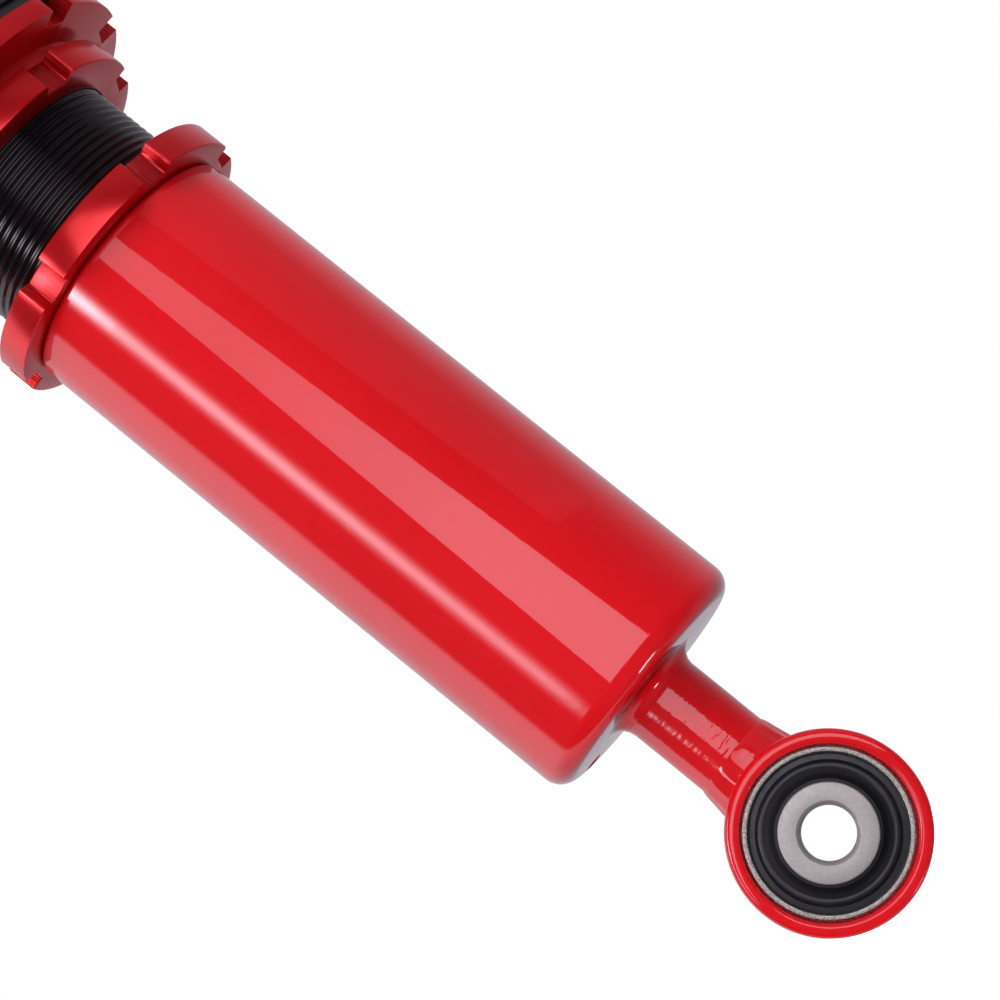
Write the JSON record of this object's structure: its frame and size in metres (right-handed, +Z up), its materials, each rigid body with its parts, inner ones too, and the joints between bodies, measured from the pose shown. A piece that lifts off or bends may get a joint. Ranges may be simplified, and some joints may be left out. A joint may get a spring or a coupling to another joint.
{
  "type": "coilover damper",
  "caption": "Height-adjustable coilover damper: bushed lower eye, red bracket tube, threaded black body, lock rings, spring perch, coil spring and pillow-ball top mount.",
  "frame": {"origin": "centre of the lower eye bore", "axes": "+Z up the damper axis towards the top mount, +X along the lower eye bore, +Y across"},
  "size_m": [0.116, 0.116, 0.513],
  "materials": {
    "red_paint": "gloss red paint over steel, slight orange peel",
    "red_paint_weld": "gloss red paint over a rippled weld bead",
    "zinc_shell": "bare steel shell end, rough turned",
    "bush_rubber": "moulded black rubber, satin",
    "sleeve_steel": "grey phosphated steel, matte",
    "red_anodised": "satin red anodised turned aluminium",
    "black_coated_steel": "glossy black coating on steel",
    "honed_steel": "honed steel tube",
    "machined_aluminium": "turned aluminium, bare",
    "seal_rubber": "nitrile rubber",
    "black_nylon": "moulded nylon",
    "spring_black": "black powder coat, satin gloss",
    "chromed_rod": "hard chrome, ground and polished",
    "chromed_ball": "polished bearing steel",
    "shim_steel": "ground spring steel",
    "sintered_piston": "sintered steel, matte grey",
    "bronze_band": "bronze filled guide band",
    "zinc_steel": "bright zinc plated steel",
    "bump_foam": "cellular polyurethane foam",
    "boot_rubber": "thin moulded rubber bellows"
  },
  "bodies": {
    "lower_bracket": {"bracket_tube": "red_paint", "stem_weld": "red_paint_weld", "eye_stem": "red_paint", "eye_weld": "red_paint_weld", "eye_ring": "red_paint", "bush_shell": "zinc_shell", "bush_rubber": "bush_rubber"},
    "bush_sleeve": {"bush_sleeve": "sleeve_steel"},
    "lower_lock_ring": {"lower_lock_ring": "red_anodised"},
    "damper_body": {"threaded_body": "black_coated_steel", "pressure_tube": "honed_steel", "base_plug": "machined_aluminium", "base_plug_seal": "seal_rubber", "rod_guide": "machined_aluminium", "guide_seal": "seal_rubber", "rod_seal": "seal_rubber", "rod_wiper": "seal_rubber", "gland_nut": "black_coated_steel"},
    "floating_piston": {"floating_piston": "machined_aluminium", "floating_piston_seal": "seal_rubber"},
    "spring_carrier": {"spring_isolator": "black_nylon", "coil_spring": "spring_black"},
    "spring_perch": {"spring_perch": "red_anodised"},
    "upper_lock_ring": {"upper_lock_ring": "red_anodised"},
    "rod_assembly": {"piston_rod": "chromed_rod", "topout_bumper": "seal_rubber", "compression_shims": "shim_steel", "piston": "sintered_piston", "piston_band": "bronze_band", "rebound_shims": "shim_steel", "piston_nut": "zinc_steel", "bump_stop": "bump_foam", "dust_boot": "boot_rubber", "boot_clip": "zinc_steel", "upper_spring_seat": "red_anodised", "upper_isolator": "black_nylon", "lower_spacer": "machined_aluminium", "bearing_ball": "chromed_ball", "upper_spacer": "machined_aluminium", "rod_nut": "zinc_steel"},
    "top_mount": {"top_plate": "red_anodised", "bearing_race": "shim_steel", "race_circlip": "black_coated_steel", "mount_studs": "zinc_steel"},
    "adjuster_knob": {"adjuster_knob": "red_anodised"},
    "adjuster_needle": {"adjuster_needle": "shim_steel"}
  },
  "joints": [
    {"name": "bush_twist", "type": "hinge", "parent": "lower_bracket", "child": "bush_sleeve", "pos_m": [0, 0, 0], "axis": [1, 0, 0], "range_deg": [-20, 20], "stiffness_Nm_per_rad": 60},
    {"name": "lower_ring_turn", "type": "hinge", "parent": "lower_bracket", "child": "lower_lock_ring", "pos_m": [0, 0, 0.199], "axis": [0, 0, 1], "range_deg": [0, 360]},
    {"name": "body_height", "type": "slide", "parent": "lower_bracket", "child": "damper_body", "axis": [0, 0, 1], "range_m": [-0.01, 0.04]},
    {"name": "perch_height", "type": "slide", "parent": "damper_body", "child": "spring_carrier", "axis": [0, 0, 1], "range_m": [-0.012, 0.01]},
    {"name": "perch_turn", "type": "hinge", "parent": "spring_carrier", "child": "spring_perch", "pos_m": [0, 0, 0.241], "axis": [0, 0, 1], "range_deg": [-2161, 1801]},
    {"name": "upper_ring_turn", "type": "hinge", "parent": "spring_perch", "child": "upper_lock_ring", "pos_m": [0, 0, 0.2302], "axis": [0, 0, 1], "range_deg": [0, 360]},
    {"name": "damper_stroke", "type": "slide", "parent": "spring_carrier", "child": "rod_assembly", "axis": [0, 0, 1], "range_m": [-0.05, 0], "stiffness_N_per_m": 60000, "deforming": ["coil_spring"]},
    {"name": "floating_piston_slide", "type": "slide", "parent": "damper_body", "child": "floating_piston", "axis": [0, 0, 1], "range_m": [-0.0062, 0.0001]},
    {"name": "top_mount_tilt", "type": "hinge", "parent": "rod_assembly", "child": "top_mount", "pos_m": [0, 0, 0.447], "axis": [1, 0, 0], "range_deg": [-8, 8]},
    {"name": "adjuster_turn", "type": "hinge", "parent": "rod_assembly", "child": "adjuster_knob", "pos_m": [0, 0, 0.478], "axis": [0, 0, 1], "range_deg": [-1, 721]},
    {"name": "needle_travel", "type": "slide", "parent": "rod_assembly", "child": "adjuster_needle", "axis": [0, 0, 1], "range_m": [0, 0.001]}
  ],
  "couplings": [
    {"joint": "perch_turn", "follows": "perch_height", "rad_per_m": 3141.6},
    {"joint": "floating_piston_slide", "follows": "damper_stroke", "ratio": 0.1166},
    {"joint": "adjuster_turn", "follows": "needle_travel", "rad_per_m": 12566}
  ]
}
